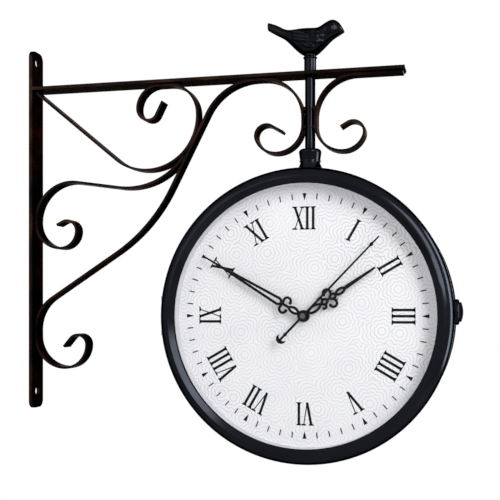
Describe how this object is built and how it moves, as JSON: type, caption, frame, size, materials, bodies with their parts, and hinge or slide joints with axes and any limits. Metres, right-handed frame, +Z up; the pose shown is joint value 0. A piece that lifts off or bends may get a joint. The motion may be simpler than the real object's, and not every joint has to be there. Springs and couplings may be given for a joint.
{
  "type": "double-sided wall clock on a scroll bracket",
  "caption": "Round two-dial station clock that hangs and turns on a rod under a scrolled iron wall bracket, with a hinged front, push-button catch and bird finial.",
  "frame": {"origin": "back face of the wall strap, midway between its two screw holes", "axes": "+X leads away from the wall along the arm, +Z is up, the front dial (with the door) faces -Y"},
  "size_m": [0.3483, 0.0826, 0.3388],
  "materials": {
    "bracket_iron": "satin",
    "cast_black": "gloss",
    "case_black": "gloss",
    "pane": "clear",
    "dial_white": "matte",
    "ring_white": "matte",
    "hand_black": "satin",
    "hinge_steel": "brushed",
    "latch_bright": "polished",
    "movement_plastic": "matte",
    "wheel_plastic": "satin",
    "nut_brass": "polished",
    "magnet": "satin",
    "coil_copper": "satin",
    "board_green": "matte",
    "cell_case": "satin"
  },
  "bodies": {
    "bracket": {"wall_strap": "bracket_iron", "arm_bar": "bracket_iron", "upper_scroll": "bracket_iron", "middle_scroll": "bracket_iron", "brace_scroll": "bracket_iron", "end_scroll": "bracket_iron", "weld_beads": "bracket_iron", "hanger_rod": "bracket_iron", "swivel_collar": "cast_black", "bird_finial": "cast_black"},
    "clock_head": {"drum_band": "case_black", "neck": "cast_black", "rear_bezel": "case_black", "rear_glass": "pane", "rear_spacer_ring": "ring_white", "rear_dial": "dial_white", "drum_hinge_leaf": "hinge_steel", "hinge_pin": "hinge_steel", "latch_rosette": "latch_bright", "latch_spring": "hinge_steel", "rear_movement_case": "movement_plastic", "rear_movement_cover": "movement_plastic", "rear_fixing_nut": "nut_brass", "rear_circuit_board": "board_green", "rear_drive_coil": "coil_copper", "rear_battery": "cell_case"},
    "front_door": {"front_bezel": "case_black", "front_glass": "pane", "front_spacer_ring": "ring_white", "front_dial": "dial_white", "door_hinge_leaf": "hinge_steel", "front_movement_case": "movement_plastic", "front_movement_cover": "movement_plastic", "front_fixing_nut": "nut_brass", "front_circuit_board": "board_green", "front_drive_coil": "coil_copper", "front_battery": "cell_case"},
    "latch": {"latch_button": "case_black"},
    "front_minute": {"front_centre_wheel": "wheel_plastic", "front_minute_hand": "hand_black"},
    "front_motion": {"front_motion_wheel": "wheel_plastic", "front_setting_knob": "movement_plastic"},
    "front_hour": {"front_hour_wheel": "wheel_plastic", "front_hour_hand": "hand_black"},
    "front_third": {"front_third_wheel": "wheel_plastic"},
    "front_second": {"front_second_wheel": "wheel_plastic", "front_second_hand": "hand_black"},
    "front_step": {"front_step_wheel": "wheel_plastic"},
    "front_rotor": {"front_rotor": "magnet"},
    "rear_minute": {"rear_centre_wheel": "wheel_plastic", "rear_minute_hand": "hand_black"},
    "rear_motion": {"rear_motion_wheel": "wheel_plastic", "rear_setting_knob": "movement_plastic"},
    "rear_hour": {"rear_hour_wheel": "wheel_plastic", "rear_hour_hand": "hand_black"},
    "rear_third": {"rear_third_wheel": "wheel_plastic"},
    "rear_second": {"rear_second_wheel": "wheel_plastic", "rear_second_hand": "hand_black"},
    "rear_step": {"rear_step_wheel": "wheel_plastic"},
    "rear_rotor": {"rear_rotor": "magnet"}
  },
  "joints": [
    {"name": "head_swivel", "type": "hinge", "parent": "bracket", "child": "clock_head", "pos_m": [0.2325, 0, 0.05], "axis": [0, 0, 1], "continuous": true},
    {"name": "door_hinge", "type": "hinge", "parent": "clock_head", "child": "front_door", "pos_m": [0.1235, -0.029, -0.073], "axis": [0, 0, -1], "range_deg": [0, 105]},
    {"name": "latch_press", "type": "slide", "parent": "clock_head", "child": "latch", "axis": [-1, 0, 0], "range_m": [0, 0.0025], "stiffness_N_per_m": 600, "deforming": ["latch_spring"]},
    {"name": "front_minute_spin", "type": "hinge", "parent": "front_door", "child": "front_minute", "pos_m": [0.2325, -0.024, -0.073], "axis": [0, 1, 0], "continuous": true},
    {"name": "front_motion_spin", "type": "hinge", "parent": "front_door", "child": "front_motion", "pos_m": [0.22384, -0.024, -0.068], "axis": [0, 1, 0], "continuous": true},
    {"name": "front_hour_spin", "type": "hinge", "parent": "front_door", "child": "front_hour", "pos_m": [0.2325, -0.024, -0.073], "axis": [0, 1, 0], "continuous": true},
    {"name": "front_third_spin", "type": "hinge", "parent": "front_door", "child": "front_third", "pos_m": [0.24049, -0.024, -0.07009], "axis": [0, 1, 0], "continuous": true},
    {"name": "front_second_spin", "type": "hinge", "parent": "front_door", "child": "front_second", "pos_m": [0.2325, -0.024, -0.073], "axis": [0, 1, 0], "continuous": true},
    {"name": "front_step_spin", "type": "hinge", "parent": "front_door", "child": "front_step", "pos_m": [0.23146, -0.024, -0.06709], "axis": [0, 1, 0], "continuous": true},
    {"name": "front_rotor_spin", "type": "hinge", "parent": "front_door", "child": "front_rotor", "pos_m": [0.23243, -0.024, -0.06158], "axis": [0, 1, 0], "continuous": true},
    {"name": "rear_minute_spin", "type": "hinge", "parent": "clock_head", "child": "rear_minute", "pos_m": [0.2325, 0.024, -0.073], "axis": [0, -1, 0], "continuous": true},
    {"name": "rear_motion_spin", "type": "hinge", "parent": "clock_head", "child": "rear_motion", "pos_m": [0.24116, 0.024, -0.068], "axis": [0, -1, 0], "continuous": true},
    {"name": "rear_hour_spin", "type": "hinge", "parent": "clock_head", "child": "rear_hour", "pos_m": [0.2325, 0.024, -0.073], "axis": [0, -1, 0], "continuous": true},
    {"name": "rear_third_spin", "type": "hinge", "parent": "clock_head", "child": "rear_third", "pos_m": [0.22451, 0.024, -0.07009], "axis": [0, -1, 0], "continuous": true},
    {"name": "rear_second_spin", "type": "hinge", "parent": "clock_head", "child": "rear_second", "pos_m": [0.2325, 0.024, -0.073], "axis": [0, -1, 0], "continuous": true},
    {"name": "rear_step_spin", "type": "hinge", "parent": "clock_head", "child": "rear_step", "pos_m": [0.23354, 0.024, -0.06709], "axis": [0, -1, 0], "continuous": true},
    {"name": "rear_rotor_spin", "type": "hinge", "parent": "clock_head", "child": "rear_rotor", "pos_m": [0.23257, 0.024, -0.06158], "axis": [0, -1, 0], "continuous": true}
  ],
  "couplings": [
    {"joint": "front_motion_spin", "follows": "front_minute_spin", "ratio": -0.33333},
    {"joint": "front_hour_spin", "follows": "front_minute_spin", "ratio": 0.083333},
    {"joint": "front_third_spin", "follows": "front_minute_spin", "ratio": -8},
    {"joint": "front_second_spin", "follows": "front_minute_spin", "ratio": 60},
    {"joint": "front_step_spin", "follows": "front_minute_spin", "ratio": -300},
    {"joint": "front_rotor_spin", "follows": "front_minute_spin", "ratio": 1800},
    {"joint": "rear_motion_spin", "follows": "rear_minute_spin", "ratio": -0.33333},
    {"joint": "rear_hour_spin", "follows": "rear_minute_spin", "ratio": 0.083333},
    {"joint": "rear_third_spin", "follows": "rear_minute_spin", "ratio": -8},
    {"joint": "rear_second_spin", "follows": "rear_minute_spin", "ratio": 60},
    {"joint": "rear_step_spin", "follows": "rear_minute_spin", "ratio": -300},
    {"joint": "rear_rotor_spin", "follows": "rear_minute_spin", "ratio": 1800}
  ]
}
